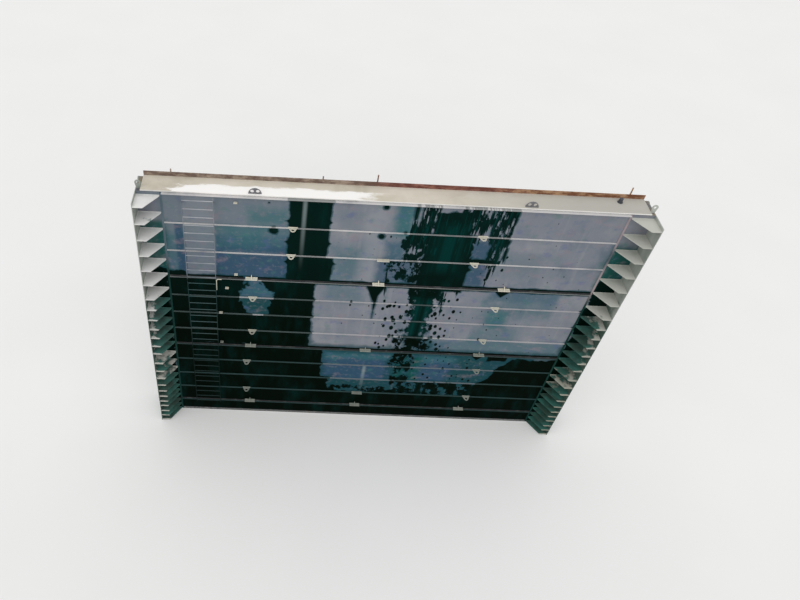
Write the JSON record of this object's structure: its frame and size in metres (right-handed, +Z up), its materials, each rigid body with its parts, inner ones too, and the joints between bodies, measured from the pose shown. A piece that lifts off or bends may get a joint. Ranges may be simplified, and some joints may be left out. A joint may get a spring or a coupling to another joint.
{
  "type": "sectional bulkhead gate",
  "caption": "Tall steel bulkhead gate of stacked flat sections with end brackets, ladder, lifting lugs and a top deck.",
  "frame": {"origin": "on the flat underside of the sill section, at the middle of its length and depth", "axes": "+X along the gate to the right seen from the dry side, +Y from the dry face to the wet side, +Z up"},
  "size_m": [15.004, 1.3359, 10.885],
  "materials": {
    "deck_paint": "worn cream paint, matt",
    "skin_paint": "grey epoxy paint, matt where dry and glossy where wet",
    "girder_paint": "dark epoxy paint with silt and light rust",
    "bracket_paint": "pale grey paint, weathered",
    "trim_paint": "pale paint worn along its edges",
    "ladder_steel": "galvanised, dull",
    "rusted_steel": "rusted brown",
    "dark_iron": "dark, matt",
    "seal_rubber": "black, matt"
  },
  "bodies": {
    "root": {"deck_plate": "deck_paint", "deck_bearers": "girder_paint", "deck_edge_bar": "trim_paint", "back_rail": "rusted_steel", "deck_lifting_lugs": "dark_iron", "deck_end_lugs": "trim_paint", "deck_vent": "dark_iron", "stub_posts": "rusted_steel", "upper_skin": "skin_paint", "middle_skin": "skin_paint", "lower_skin": "skin_paint", "sill_skin": "skin_paint", "upper_webs": "girder_paint", "middle_webs": "girder_paint", "lower_webs": "girder_paint", "sill_webs": "girder_paint", "upper_flanges": "girder_paint", "middle_flanges": "girder_paint", "lower_flanges": "girder_paint", "sill_flanges": "girder_paint", "upper_diaphragms": "girder_paint", "middle_diaphragms": "girder_paint", "lower_diaphragms": "girder_paint", "sill_diaphragms": "girder_paint", "left_end_plates": "girder_paint", "right_end_plates": "girder_paint", "upper_left_brackets": "bracket_paint", "upper_right_brackets": "bracket_paint", "middle_left_brackets": "bracket_paint", "middle_right_brackets": "bracket_paint", "lower_left_brackets": "bracket_paint", "lower_right_brackets": "bracket_paint", "sill_bracket_plates": "bracket_paint", "face_edge_bars": "trim_paint", "face_ledges": "trim_paint", "upper_ring_lugs": "trim_paint", "middle_ring_lugs": "trim_paint", "lower_ring_lugs": "trim_paint", "seam_plates": "trim_paint", "ladder_side_bars": "ladder_steel", "ladder_rungs": "ladder_steel", "ladder_fittings": "trim_paint", "joint_seals": "seal_rubber", "side_seals": "seal_rubber", "foot_seal": "seal_rubber"}
  },
  "joints": []
}
